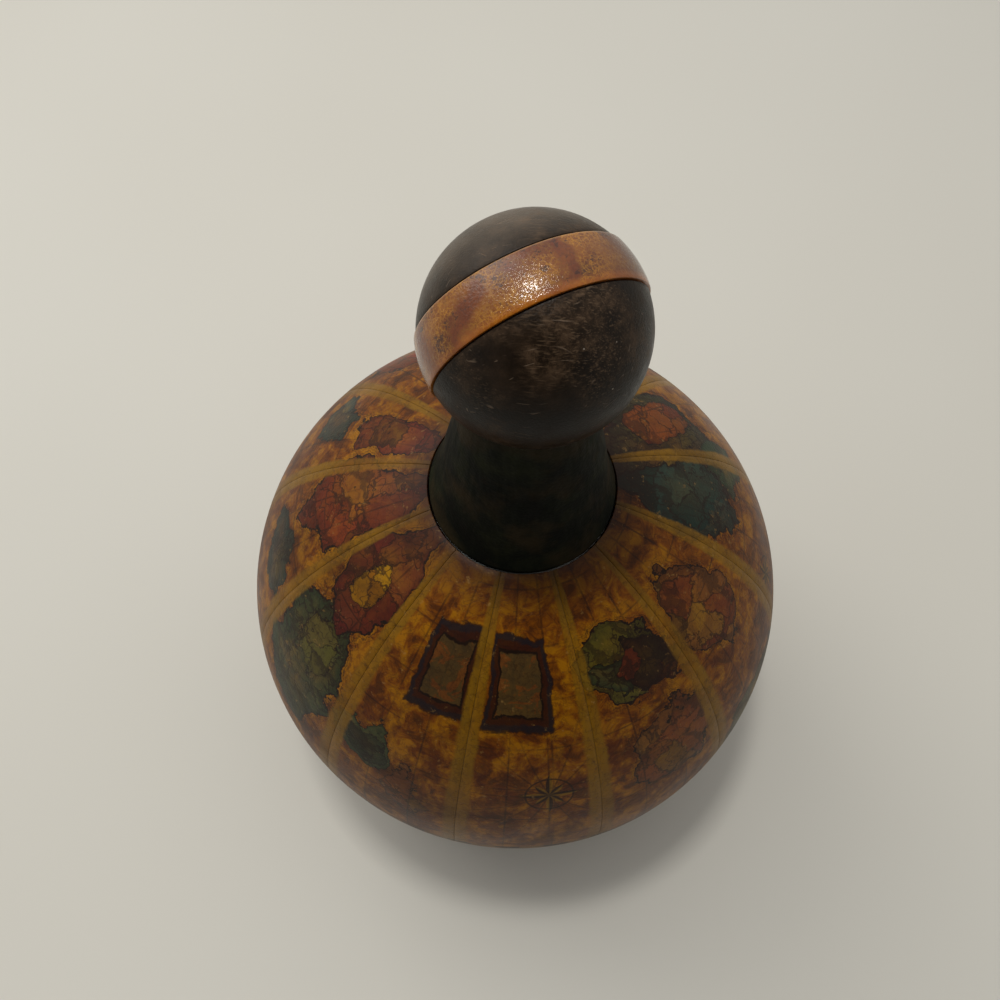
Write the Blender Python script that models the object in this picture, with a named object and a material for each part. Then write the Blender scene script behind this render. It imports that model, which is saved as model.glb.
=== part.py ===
"""Globe decanter: a round glass flask dressed in twelve printed gores, with a leather neck sleeve
and a stopper made of a leather-covered wooden ball on a cork.

Metres, +Z up. The origin is the middle of the base, on the surface that the decanter stands on.
The side that faces the viewer is at -Y.
"""

import math

import bmesh
import bpy
from mathutils import Matrix, Vector

# Globe: the radius is measured over the printed gores
GLOBE_RADIUS = 0.0750
GORE_COUNT = 12
GORE_THICKNESS = 0.0012
GORE_TURN_DEG = 4.0
GORE_SEAM = 0.0003

# Glass flask
GLASS_WALL = 0.0030
GLASS_BOTTOM = 0.0050
GLASS_FLAT_RADIUS = 0.0280
BORE_RADIUS = 0.0090
BORE_LENGTH = 0.0200
LIP_WALL = 0.0018
LIP_ROUNDING = 0.0006

# Base pad: it reaches past the gores' lower ends by its overhang
PAD_OVERHANG = 0.0013
PAD_THICKNESS = 0.0020
PAD_ROUNDING = 0.0006

# Neck, measured over its leather sleeve: a cone with a small flare where it meets the globe
NECK_HEIGHT = 0.0467
NECK_FOOT_RADIUS = 0.0217
NECK_FLARE = 0.0009
NECK_FLARE_HEIGHT = 0.0030
SLEEVE_THICKNESS = 0.0012
SLEEVE_DROP = 0.0004

# Stopper ball: its flat underside reaches past the neck's lip by a margin
BALL_RADIUS = 0.0208
BALL_FLAT_MARGIN = 0.0007
CAP_THICKNESS = 0.0012
BAND_PROUD = 0.0004
BAND_WIDTH = 0.0098
BAND_SHIFT = 0.0020
BAND_AZIMUTH_DEG = -63.5
BAND_TILT_DEG = -11.7
BAND_SEAM = 0.0003

# Cork and dowel
CORK_LENGTH = 0.0260
CORK_TAPER = 0.0006
CORK_CHAMFER = 0.0008
DOWEL_RADIUS = 0.0040
DOWEL_LENGTH = 0.0240
DOWEL_CHAMFER = 0.0005

# Clearances
GLUE_GAP = 0.0003
SEAT_GAP = 0.0003
CORK_GAP = 0.0003

# Facets
GORE_FACETS = 4
BALL_STEPS = 36
SMALL_STEPS = 32
GORE_STEPS = 16
INSIDE_STEPS = 12
NECK_STEPS = 6
ARC_STEPS = 3
MERGE = 0.000001
SMOOTH_DEG = 35.0

# Sizes that follow from the ones above
GORE_INNER_RADIUS = GLOBE_RADIUS - GORE_THICKNESS
GLASS_RADIUS = GORE_INNER_RADIUS - GLUE_GAP
GLASS_INNER_RADIUS = GLASS_RADIUS - GLASS_WALL
GLASS_FLAT_DROP = math.sqrt(GLASS_RADIUS**2 - GLASS_FLAT_RADIUS**2)
GLOBE_Z = PAD_THICKNESS + GLUE_GAP + GLASS_FLAT_DROP
GORE_END_RADIUS = math.sqrt(GLOBE_RADIUS**2 - GLASS_FLAT_DROP**2)
PAD_RADIUS = GORE_END_RADIUS + PAD_OVERHANG
FOOT_Z = GLOBE_Z + math.sqrt(GLOBE_RADIUS**2 - NECK_FOOT_RADIUS**2)
SLEEVE_TOP_Z = FOOT_Z + NECK_HEIGHT
SLEEVE_LIP_RADIUS = BORE_RADIUS + LIP_WALL + GLUE_GAP + SLEEVE_THICKNESS
LIP_Z = SLEEVE_TOP_Z + SLEEVE_DROP
BALL_FLAT_Z = LIP_Z + SEAT_GAP
BALL_FLAT_DROP = math.sqrt(BALL_RADIUS**2 - (SLEEVE_LIP_RADIUS + BALL_FLAT_MARGIN) ** 2)
BALL_Z = BALL_FLAT_Z + BALL_FLAT_DROP
CORK_TOP_Z = BALL_FLAT_Z - SEAT_GAP
CORK_TOP_RADIUS = BORE_RADIUS - CORK_GAP
CAP_INNER_RADIUS = BALL_RADIUS - CAP_THICKNESS
CORE_RADIUS = CAP_INNER_RADIUS - GLUE_GAP
BAND_RADIUS = BALL_RADIUS + BAND_PROUD
SOCKET_RADIUS = DOWEL_RADIUS + GLUE_GAP
SOCKET_DEPTH = DOWEL_LENGTH / 2 + GLUE_GAP
ROUND_STEPS = GORE_COUNT * GORE_FACETS
GORE_SWEEP = 2 * math.pi / GORE_COUNT
FIRST_SEAM = math.radians(GORE_TURN_DEG - 90) - GORE_SWEEP / 2


def clear_scene():
    for obj in list(bpy.data.objects):
        bpy.data.objects.remove(obj, do_unlink=True)


def finish_colour(name, colour, roughness):
    """A Principled material in one named colour, given as linear red, green and blue."""
    mat = bpy.data.materials.new(name)
    mat.use_nodes = True
    shader = mat.node_tree.nodes["Principled BSDF"]
    shader.inputs["Base Color"].default_value = (*colour, 1.0)
    shader.inputs["Roughness"].default_value = roughness
    shader.inputs["Metallic"].default_value = 0.0
    return mat


def add_piece(name, bm, mat, origin, parent):
    """Makes an object of a bmesh that is drawn about origin, and hangs it on an empty."""
    bmesh.ops.remove_doubles(bm, verts=bm.verts, dist=MERGE)
    bmesh.ops.recalc_face_normals(bm, faces=bm.faces)
    mesh = bpy.data.meshes.new(name)
    bm.to_mesh(mesh)
    bm.free()
    mesh.materials.append(mat)
    mesh.shade_smooth()
    mesh.set_sharp_from_angle(angle=math.radians(SMOOTH_DEG))
    obj = bpy.data.objects.new(name, mesh)
    bpy.context.collection.objects.link(obj)
    obj.parent = parent
    obj.location = origin - (parent.matrix_world.translation if parent else Vector())
    return obj


def add_axis(name, origin, parent):
    """An empty on a joint's axis, which the joint's pieces hang on."""
    empty = bpy.data.objects.new(name, None)
    bpy.context.collection.objects.link(empty)
    empty.parent = parent
    empty.location = origin - (parent.matrix_world.translation if parent else Vector())
    bpy.context.view_layer.update()
    return empty


def turned(outline, steps, start=FIRST_SEAM, sweep=2 * math.pi):
    """A closed outline of (radius, height) points, turned about Z."""
    bm = bmesh.new()
    first = Matrix.Rotation(start, 3, "Z")
    verts = [bm.verts.new(first @ Vector((radius, 0, height))) for radius, height in outline]
    edges = [bm.edges.new(pair) for pair in zip(verts, verts[1:] + verts[:1])]
    bmesh.ops.spin(
        bm,
        geom=verts + edges,
        cent=(0, 0, 0),
        axis=(0, 0, 1),
        angle=sweep,
        steps=steps,
        use_merge=math.isclose(sweep, 2 * math.pi),
    )
    on_axis = [edge for edge in bm.edges if not edge.link_faces]
    bmesh.ops.delete(bm, geom=on_axis, context="EDGES")
    return bm


def cut_off(bm, point, normal):
    """Takes away what lies beyond a plane, on its normal's side, and closes the cut."""
    bmesh.ops.remove_doubles(bm, verts=bm.verts, dist=MERGE)
    geom = list(bm.verts) + list(bm.edges) + list(bm.faces)
    bmesh.ops.bisect_plane(bm, geom=geom, plane_co=point, plane_no=normal, clear_outer=True)
    rim = [edge for edge in bm.edges if len(edge.link_faces) == 1]
    bmesh.ops.holes_fill(bm, edges=rim)


def arc(radius, first, last, steps):
    """Points on a circle about the origin, by angles from straight up."""
    angles = [first + (last - first) * i / steps for i in range(steps + 1)]
    return [(radius * math.sin(angle), radius * math.cos(angle)) for angle in angles]


def corner(radius, height, rounding, first_deg):
    """A rounded corner at (radius, height): a quarter turn that starts at an angle off straight up."""
    diagonal = math.radians(first_deg + 45)
    middle_radius = radius - math.copysign(rounding, math.sin(diagonal))
    middle_height = height - math.copysign(rounding, math.cos(diagonal))
    quarter = arc(rounding, math.radians(first_deg), math.radians(first_deg + 90), ARC_STEPS)
    return [(middle_radius + across, middle_height + up) for across, up in quarter]


def neck_radius(height):
    """Outside of the sleeve at a height in metres above the base."""
    rise = height - FOOT_Z
    cone_foot = NECK_FOOT_RADIUS - NECK_FLARE
    cone = cone_foot + (SLEEVE_LIP_RADIUS - cone_foot) * rise / NECK_HEIGHT
    return cone + NECK_FLARE * math.exp(-rise / NECK_FLARE_HEIGHT)


def neck_heights():
    """Heights up the sleeve from its foot, closer together in the flare."""
    return [FOOT_Z + NECK_HEIGHT * (i / NECK_STEPS) ** 2 for i in range(NECK_STEPS + 1)]


def on_sphere(radius, sphere_radius):
    """Height above the base of a point at a radius on the upper half of a sphere about the globe."""
    return GLOBE_Z + math.sqrt(sphere_radius**2 - radius**2)


def gore_ends():
    """Polar angles of the gores' upper and lower ends: clear of the sleeve and of the pad."""
    upper = math.asin((NECK_FOOT_RADIUS + GORE_SEAM) / GORE_INNER_RADIUS)
    lower = math.pi - math.asin(GORE_END_RADIUS / GLOBE_RADIUS)
    return upper, lower


def raised(points):
    """Moves points that are drawn about the middle of the globe to their height above the base."""
    return [(radius, height + GLOBE_Z) for radius, height in points]


def glass_outside():
    """Down the flask's outer wall, from lip to base; its rings line up with the gores' rings."""
    in_leather = SLEEVE_THICKNESS + GLUE_GAP
    neck = [(neck_radius(z) - in_leather, z) for z in neck_heights()[-2::-1]]
    foot_radius = NECK_FOOT_RADIUS - in_leather
    foot = [(foot_radius, on_sphere(foot_radius, GLASS_RADIUS))]
    globe = raised(arc(GLASS_RADIUS, *gore_ends(), GORE_STEPS))
    base = [(GLASS_FLAT_RADIUS, GLOBE_Z - GLASS_FLAT_DROP), (0, GLOBE_Z - GLASS_FLAT_DROP)]
    return corner(BORE_RADIUS + LIP_WALL, LIP_Z, LIP_ROUNDING, 0) + neck + foot + globe + base


def glass_inside():
    """Up the flask's inner wall, from the middle of its bottom to the lip."""
    floor = GLASS_FLAT_DROP - GLASS_BOTTOM
    shoulder_radius = NECK_FOOT_RADIUS - SLEEVE_THICKNESS - GLUE_GAP - GLASS_WALL
    first = math.pi - math.acos(floor / GLASS_INNER_RADIUS)
    last = math.asin(shoulder_radius / GLASS_INNER_RADIUS)
    globe = raised(arc(GLASS_INNER_RADIUS, first, last, INSIDE_STEPS))
    shoulder_z = on_sphere(shoulder_radius, GLASS_INNER_RADIUS)
    seat_z = LIP_Z - BORE_LENGTH
    flare = []
    for i in range(1, NECK_STEPS + 1):
        share = i / NECK_STEPS
        eased_share = share * share * (3 - 2 * share)
        radius = shoulder_radius + (BORE_RADIUS - shoulder_radius) * eased_share
        flare.append((radius, shoulder_z + (seat_z - shoulder_z) * share))
    mouth = corner(BORE_RADIUS, LIP_Z, LIP_ROUNDING, 270)
    return [(0, GLOBE_Z - floor)] + globe + flare + mouth


def make_glass_flask():
    mat = finish_colour("clear_glass", (0.72, 0.80, 0.74), 0.05)
    mat.node_tree.nodes["Principled BSDF"].inputs["Transmission Weight"].default_value = 1.0
    bm = turned(glass_outside() + glass_inside(), ROUND_STEPS)
    add_piece("glass_flask", bm, mat, Vector(), None)


def make_gores():
    """Twelve panels of one shape, laid side by side round the globe with a narrow seam between."""
    tones = ((0.42, 0.20, 0.03), (0.34, 0.10, 0.02), (0.30, 0.16, 0.04))
    upper, lower = gore_ends()
    outline = arc(GLOBE_RADIUS, upper, lower, GORE_STEPS)
    outline += reversed(arc(GORE_INNER_RADIUS, upper, lower, GORE_STEPS))
    for i in range(GORE_COUNT):
        start = FIRST_SEAM + i * GORE_SWEEP
        bm = turned(outline, GORE_FACETS, start, GORE_SWEEP)
        for edge_angle, side in ((start, 1), (start + GORE_SWEEP, -1)):
            outwards = Vector((math.sin(edge_angle), -math.cos(edge_angle), 0)) * side
            cut_off(bm, -outwards * GORE_SEAM / 2, outwards)
        number = i + 1
        mat = finish_colour(f"varnished_print_{number:02d}", tones[i % len(tones)], 0.35)
        add_piece(f"gore_{number:02d}", bm, mat, Vector((0, 0, GLOBE_Z)), None)


def make_neck_sleeve():
    """One wrap of thin leather from the lip to the globe, glued to the glass."""
    outside = [(neck_radius(z), z) for z in neck_heights()]
    inside = [(radius - SLEEVE_THICKNESS, z) for radius, z in outside]
    inner_foot = NECK_FOOT_RADIUS - SLEEVE_THICKNESS
    hem = [
        (inner_foot, on_sphere(inner_foot, GORE_INNER_RADIUS)),
        (NECK_FOOT_RADIUS, on_sphere(NECK_FOOT_RADIUS, GORE_INNER_RADIUS)),
    ]
    mat = finish_colour("dark_green_leather", (0.014, 0.016, 0.010), 0.45)
    bm = turned(list(reversed(inside)) + hem + outside, ROUND_STEPS)
    add_piece("neck_sleeve", bm, mat, Vector(), None)


def make_base_pad():
    """A leather disc under the flask; it closes the gores' lower ends."""
    outline = [(0, PAD_THICKNESS)]
    outline += corner(PAD_RADIUS, PAD_THICKNESS, PAD_ROUNDING, 0)
    outline += corner(PAD_RADIUS, 0, PAD_ROUNDING, 90)
    outline += [(0, 0)]
    mat = finish_colour("base_leather", (0.030, 0.017, 0.010), 0.70)
    add_piece("base_pad", turned(outline, ROUND_STEPS), mat, Vector(), None)


def make_cork(parent):
    """A tapered cork with a blind hole in its top for the dowel."""
    bottom_radius = CORK_TOP_RADIUS - CORK_TAPER
    outline = [
        (SOCKET_RADIUS, 0),
        (CORK_TOP_RADIUS, 0),
        (bottom_radius, CORK_CHAMFER - CORK_LENGTH),
        (bottom_radius - CORK_CHAMFER, -CORK_LENGTH),
        (0, -CORK_LENGTH),
        (0, -SOCKET_DEPTH),
        (SOCKET_RADIUS, -SOCKET_DEPTH),
    ]
    mat = finish_colour("natural_cork", (0.42, 0.24, 0.12), 0.85)
    add_piece("stopper_cork", turned(outline, SMALL_STEPS), mat, Vector((0, 0, CORK_TOP_Z)), parent)


def make_dowel(parent):
    """A beech pin, half of it in the cork and half in the ball."""
    half = DOWEL_LENGTH / 2
    tip_radius = DOWEL_RADIUS - DOWEL_CHAMFER
    outline = [
        (0, half),
        (tip_radius, half),
        (DOWEL_RADIUS, half - DOWEL_CHAMFER),
        (DOWEL_RADIUS, DOWEL_CHAMFER - half),
        (tip_radius, -half),
        (0, -half),
    ]
    mat = finish_colour("beech_dowel", (0.45, 0.28, 0.14), 0.60)
    middle = Vector((0, 0, (BALL_FLAT_Z + CORK_TOP_Z) / 2))
    add_piece("stopper_dowel", turned(outline, SMALL_STEPS), mat, middle, parent)


def make_ball_core(parent):
    """A turned wooden ball with a flat underneath and a socket for the dowel."""
    flat_angle = math.pi - math.acos(BALL_FLAT_DROP / CORE_RADIUS)
    outline = arc(CORE_RADIUS, 0, flat_angle, INSIDE_STEPS)
    roof = SOCKET_DEPTH - BALL_FLAT_DROP
    outline += [(SOCKET_RADIUS, -BALL_FLAT_DROP), (SOCKET_RADIUS, roof), (0, roof)]
    mat = finish_colour("stained_wood", (0.050, 0.025, 0.012), 0.55)
    add_piece("ball_core", turned(outline, BALL_STEPS), mat, Vector((0, 0, BALL_Z)), parent)


def band_direction():
    """Turns the Z axis to the direction that the front cap faces."""
    azimuth = math.radians(BAND_AZIMUTH_DEG)
    tilt = math.radians(BAND_TILT_DEG)
    level = math.cos(tilt)
    facing = Vector((level * math.cos(azimuth), level * math.sin(azimuth), math.sin(tilt)))
    return facing.to_track_quat("Z", "Y").to_matrix()


def add_ball_skin(name, outline, mat, parent):
    """A leather skin turned about the band's axis and trimmed level with the ball's flat."""
    bm = turned(outline, BALL_STEPS)
    bmesh.ops.rotate(bm, verts=bm.verts, matrix=band_direction())
    cut_off(bm, (0, 0, -BALL_FLAT_DROP), (0, 0, -1))
    add_piece(name, bm, mat, Vector((0, 0, BALL_Z)), parent)


def cap_outline(edge, facing):
    """A bowl from its pole to a flat edge, at a distance from the ball's middle."""
    outer = arc(BALL_RADIUS, 0, math.acos(edge / BALL_RADIUS), INSIDE_STEPS // 2)
    inner = arc(CAP_INNER_RADIUS, 0, math.acos(edge / CAP_INNER_RADIUS), INSIDE_STEPS // 2)
    return [(radius, facing * height) for radius, height in outer + inner[::-1]]


def make_ball_skins(parent):
    """Two dark caps with a tan band between them, all glued to the wooden ball."""
    front = BAND_WIDTH / 2 - BAND_SHIFT
    back = BAND_WIDTH / 2 + BAND_SHIFT
    half_seam = BAND_SEAM / 2
    dark_front = finish_colour("front_cap_leather", (0.022, 0.012, 0.008), 0.40)
    add_ball_skin("ball_cap_front", cap_outline(front + half_seam, 1), dark_front, parent)
    dark_back = finish_colour("back_cap_leather", (0.020, 0.013, 0.010), 0.45)
    add_ball_skin("ball_cap_back", cap_outline(back + half_seam, -1), dark_back, parent)
    first = (front - half_seam) / BAND_RADIUS
    last = (half_seam - back) / BAND_RADIUS
    outer = arc(BAND_RADIUS, math.acos(first), math.acos(last), ARC_STEPS)
    first = (front - half_seam) / CAP_INNER_RADIUS
    last = (half_seam - back) / CAP_INNER_RADIUS
    inner = arc(CAP_INNER_RADIUS, math.acos(first), math.acos(last), ARC_STEPS)
    tan = finish_colour("tan_band_leather", (0.30, 0.095, 0.025), 0.35)
    add_ball_skin("ball_band", outer + inner[::-1], tan, parent)


def make_stopper():
    """The cork slides in the bore, and the ball turns about the neck's axis above it."""
    pull_axis = add_axis("stopper_pull_axis", Vector((0, 0, LIP_Z)), None)
    twist_axis = add_axis("stopper_twist_axis", Vector((0, 0, BALL_FLAT_Z)), pull_axis)
    make_cork(pull_axis)
    make_dowel(twist_axis)
    make_ball_core(twist_axis)
    make_ball_skins(twist_axis)


clear_scene()
make_glass_flask()
make_gores()
make_neck_sleeve()
make_base_pad()
make_stopper()
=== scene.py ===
import functools
import math

import bmesh
import bpy
from mathutils import Matrix, Vector, noise


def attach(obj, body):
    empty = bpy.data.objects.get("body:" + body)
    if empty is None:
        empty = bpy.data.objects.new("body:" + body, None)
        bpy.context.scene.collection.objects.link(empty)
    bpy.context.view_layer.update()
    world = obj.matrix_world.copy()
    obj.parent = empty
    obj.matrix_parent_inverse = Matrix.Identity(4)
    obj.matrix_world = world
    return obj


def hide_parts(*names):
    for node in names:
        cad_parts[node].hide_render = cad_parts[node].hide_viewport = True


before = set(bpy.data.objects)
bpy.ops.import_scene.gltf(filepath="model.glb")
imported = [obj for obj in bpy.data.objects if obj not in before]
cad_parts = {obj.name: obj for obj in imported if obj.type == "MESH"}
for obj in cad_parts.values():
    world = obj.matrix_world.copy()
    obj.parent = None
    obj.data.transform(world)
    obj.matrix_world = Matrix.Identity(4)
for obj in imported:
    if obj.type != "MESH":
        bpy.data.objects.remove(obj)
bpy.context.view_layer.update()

# Glass flask: the bottle itself, one piece of clear glass blown in a mould, with a polished rim.
# Leather is glued over nearly all of it, so the rim and the bore show once the stopper is out.
GLOBE_Z = 0.070257
GLASS_RADIUS = 0.0735
GLASS_INNER_RADIUS = 0.0705
FLASK_FLAT_Z = 0.0023
FLASK_FLAT_RADIUS = 0.0280
FLASK_FLOOR_Z = 0.0073
LIP_Z = 0.189149
LIP_RADIUS = 0.0108
LIP_ROUNDING = 0.0006
BORE_RADIUS = 0.0090
BORE_FOOT_Z = 0.169149
SHOULDER_RADIUS = 0.0202
SHOULDER_INNER_RADIUS = 0.0172
NECK_FOOT_Z = 0.142049
NECK_HEIGHT = 0.0467
NECK_FOOT_RADIUS = 0.0208
NECK_LIP_RADIUS = 0.0123
NECK_FLARE = 0.0009
NECK_FLARE_HEIGHT = 0.0030
NECK_LEATHER = 0.0012
GLUE = 0.0003
TURN_STEPS = 96
ARC_STEPS = 48
NECK_RINGS = 16
BORE_RINGS = 12
MERGE = 0.000001
SHARP_ANGLE = math.radians(40)


def linear(code):
    """An sRGB hex colour as linear red, green, blue and alpha."""
    shares = [int(code[i : i + 2], 16) / 255 for i in (1, 3, 5)]
    return (*(s / 12.92 if s <= 0.04045 else ((s + 0.055) / 1.055) ** 2.4 for s in shares), 1.0)


def node(mat, kind, inputs=(), stops=(), **settings):
    """Adds a shader node. Its inputs, in order or by name, take values, nodes or outputs.

    A colour is given as a hex code or as linear numbers.
    """
    new = mat.node_tree.nodes.new("ShaderNode" + kind)
    for name, value in settings.items():
        setattr(new, name, value)
    for i, (place, colour) in enumerate(stops):
        stop = new.color_ramp.elements[i] if i < 2 else new.color_ramp.elements.new(place)
        stop.position = place
        stop.color = linear(colour) if isinstance(colour, str) else colour
    shown = [socket for socket in new.inputs if socket.enabled]
    if isinstance(inputs, dict):
        shown = [next(s for s in shown if s.name == name) for name in inputs]
        inputs = inputs.values()
    for socket, value in zip(shown, inputs):
        if isinstance(value, str):
            value = linear(value)
        if isinstance(value, bpy.types.Node):
            value = next(s for s in value.outputs if s.enabled)
        if isinstance(value, bpy.types.NodeSocket):
            mat.node_tree.links.new(value, socket)
        else:
            socket.default_value = value
    return new


def blank_material(name):
    """A material, what adds nodes to it, and the object's own coordinates to lay patterns on."""
    mat = bpy.data.materials.new(name)
    mat.use_nodes = True
    mat.node_tree.nodes.clear()
    add = functools.partial(node, mat)
    return mat, add, add("TexCoord").outputs["Object"]


def swung(bm, radius, height, middle_z, angle, steps):
    """Vertices down an arc about the middle at middle_z, from a point at a radius and a height."""
    first = bm.verts.new((radius, 0, height))
    older = set(bm.verts)
    centre = (0, 0, middle_z)
    bmesh.ops.spin(bm, geom=[first], cent=centre, axis=(0, 1, 0), angle=angle, steps=steps)
    return [first] + [vert for vert in bm.verts if vert not in older]


def turned(bm, outline, steps=TURN_STEPS, sweep=2 * math.pi, closed=True):
    """Joins the vertices of an outline and turns it about the Z axis."""
    for pair in zip(outline, outline[1:] + (outline[:1] if closed else [])):
        if bm.edges.get(pair) is None:
            bm.edges.new(pair)
    geom = bm.verts[:] + bm.edges[:]
    full = math.isclose(sweep, 2 * math.pi)
    centre = (0, 0, 0)
    up = (0, 0, 1)
    bmesh.ops.spin(bm, geom=geom, cent=centre, axis=up, angle=sweep, steps=steps, use_merge=full)
    bmesh.ops.remove_doubles(bm, verts=bm.verts, dist=MERGE)
    bmesh.ops.recalc_face_normals(bm, faces=bm.faces)


def rounded(bm, edges, size, segments):
    """Bevels edges to a round of a size."""
    bmesh.ops.bevel(
        bm, geom=edges, offset=size, segments=segments, affect="EDGES", profile=0.5, material=-1
    )


def made(name, bm, mat):
    """Makes a bmesh an object at the origin, with a material."""
    mesh = bpy.data.meshes.new(name)
    bm.to_mesh(mesh)
    bm.free()
    mesh.materials.append(mat)
    mesh.shade_smooth()
    mesh.set_sharp_from_angle(angle=SHARP_ANGLE)
    obj = bpy.data.objects.new(name, mesh)
    bpy.context.scene.collection.objects.link(obj)
    return obj


def neck_radius(height):
    """Outside of the neck's leather: a straight cone with a small flare at its foot."""
    rise = height - NECK_FOOT_Z
    cone = NECK_FOOT_RADIUS + (NECK_LIP_RADIUS - NECK_FOOT_RADIUS) * rise / NECK_HEIGHT
    return cone + NECK_FLARE * math.exp(-rise / NECK_FLARE_HEIGHT)


def polar_angle(radius, sphere_radius):
    """Angle off straight up of a point at a radius on the upper half of a sphere."""
    return math.asin(radius / sphere_radius)


# Its outline, from the rim down the outside, then up the inside and the bore
bm = bmesh.new()
outline = [bm.verts.new((LIP_RADIUS, 0, LIP_Z))]
for i in range(NECK_RINGS):
    height = NECK_FOOT_Z + NECK_HEIGHT * (1 - i / NECK_RINGS) ** 2
    outline.append(bm.verts.new((neck_radius(height) - NECK_LEATHER - GLUE, 0, height)))
shoulder_angle = polar_angle(SHOULDER_RADIUS, GLASS_RADIUS)
base_angle = math.pi - polar_angle(FLASK_FLAT_RADIUS, GLASS_RADIUS)
shoulder_z = GLOBE_Z + GLASS_RADIUS * math.cos(shoulder_angle)
sweep_down = base_angle - shoulder_angle
outline += swung(bm, SHOULDER_RADIUS, shoulder_z, GLOBE_Z, sweep_down, ARC_STEPS)
outline.append(bm.verts.new((0, 0, FLASK_FLAT_Z)))
outline.append(bm.verts.new((0, 0, FLASK_FLOOR_Z)))
shoulder_angle = polar_angle(SHOULDER_INNER_RADIUS, GLASS_INNER_RADIUS)
floor_angle = math.acos((FLASK_FLOOR_Z - GLOBE_Z) / GLASS_INNER_RADIUS)
shoulder_z = GLOBE_Z + GLASS_INNER_RADIUS * math.cos(shoulder_angle)
sweep_down = floor_angle - shoulder_angle
inside = swung(bm, SHOULDER_INNER_RADIUS, shoulder_z, GLOBE_Z, sweep_down, ARC_STEPS)
outline += inside[::-1]
for i in range(BORE_RINGS):
    share = (i + 1) / BORE_RINGS
    eased_share = share * share * (3 - 2 * share)
    radius = SHOULDER_INNER_RADIUS + (BORE_RADIUS - SHOULDER_INNER_RADIUS) * eased_share
    outline.append(bm.verts.new((radius, 0, shoulder_z + (BORE_FOOT_Z - shoulder_z) * share)))
outline.append(bm.verts.new((BORE_RADIUS, 0, LIP_Z)))
# It stays open along the axis, between the middles of the underside and of the floor inside
floor_at = outline.index(inside[-1]) - 1
turned(bm, outline[floor_at:] + outline[:floor_at], closed=False)
lip_rings = []
for edge in bm.edges:
    radii = [vert.co.xy.length for vert in edge.verts]
    at_lip = all(abs(vert.co.z - LIP_Z) < MERGE for vert in edge.verts)
    if at_lip and abs(radii[0] - radii[1]) < MERGE:
        lip_rings.append(edge)
rounded(bm, lip_rings, LIP_ROUNDING, segments=4)

# Clear soda-lime glass: a faint green where it is thick, and the slow waves of a blown wall
glass, add, place = blank_material("clear_blown_glass")
waves = add("TexNoise", {"Vector": place, "Scale": 1 / 0.012, "Detail": 2.0})
cast = add("ValToRGB", {"Fac": waves}, stops=[(0.35, "#e4efe6"), (0.65, "#f1f6f0")])
relief = add("Bump", {"Height": waves, "Strength": 0.25, "Distance": 0.0006})
surface = add(
    "BsdfPrincipled",
    {
        "Base Color": cast,
        "Roughness": 0.03,
        "IOR": 1.52,
        "Transmission Weight": 1.0,
        "Normal": relief,
    },
)
add("OutputMaterial", {"Surface": surface})

flask = made("flask_glass", bm, glass)
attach(flask, "bottle")
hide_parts("glass_flask")

# Globe gores: twelve panels of thin leather, printed with an old-style map and cut to a point
# like a globe's paper gores. They are glued to the glass edge to edge, then varnished.
GLOBE_RADIUS = 0.07465
GORE_COUNT = 12
GORE_THICKNESS = 0.00085
GORE_SEAM = 0.00005
GORE_EDGE_ROUNDING = 0.00008
GORE_TOP_DEG = 17.34
GORE_END_DEG = 154.97
GORE_TURN_DEG = 4.0
GORE_RINGS = 88
GORE_COLUMNS = 20
CORNER_DEG = 60
HAND_WAVE = 0.00010
HAND_WAVE_LENGTH = 0.018
GORE_SWEEP_DEG = 360 / GORE_COUNT
FIRST_SEAM_DEG = GORE_TURN_DEG - 90 - GORE_SWEEP_DEG / 2


def cut_back(bm, point, normal):
    """Takes away what lies beyond a plane, on its normal's side."""
    geom = bm.verts[:] + bm.edges[:] + bm.faces[:]
    bmesh.ops.bisect_plane(bm, geom=geom, plane_co=point, plane_no=normal, clear_outer=True)


def sharp_edges(bm, degrees):
    """Edges where two faces meet at more than an angle."""
    least = math.radians(degrees)
    return [e for e in bm.edges if len(e.link_faces) == 2 and e.calc_face_angle() > least]


def hand_laid(bm, depth, length):
    """Sinks the surface here and there by up to a depth, as leather that is laid by hand."""
    for vert in bm.verts:
        vert.co -= vert.normal * depth * (0.5 + 0.5 * noise.noise(vert.co / length))


gore_top = math.radians(GORE_TOP_DEG)
top_radius = GLOBE_RADIUS * math.sin(gore_top)
top_z = GLOBE_Z + GLOBE_RADIUS * math.cos(gore_top)
sweep_down = math.radians(GORE_END_DEG - GORE_TOP_DEG)
sweep_round = math.radians(GORE_SWEEP_DEG)
gores = []
for i in range(GORE_COUNT):
    bm = bmesh.new()
    outline = swung(bm, top_radius, top_z, GLOBE_Z, sweep_down, GORE_RINGS)
    first = math.radians(FIRST_SEAM_DEG + i * GORE_SWEEP_DEG)
    last = first + sweep_round
    bmesh.ops.rotate(bm, verts=bm.verts, matrix=Matrix.Rotation(first, 3, "Z"))
    turned(bm, outline, GORE_COLUMNS, sweep_round, closed=False)
    for angle, side in ((first, 1), (last, -1)):
        outwards = Vector((math.sin(angle), -math.cos(angle), 0)) * side
        cut_back(bm, -outwards * GORE_SEAM / 2, outwards)
    face = next(iter(bm.faces))
    if face.normal.dot(face.calc_center_median() - Vector((0, 0, GLOBE_Z))) < 0:
        bmesh.ops.reverse_faces(bm, faces=bm.faces)
    hand_laid(bm, HAND_WAVE, HAND_WAVE_LENGTH)
    bmesh.ops.solidify(bm, geom=bm.faces[:], thickness=GORE_THICKNESS)
    rounded(bm, sharp_edges(bm, CORNER_DEG), GORE_EDGE_ROUNDING, segments=2)
    gores.append(bm)

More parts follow.
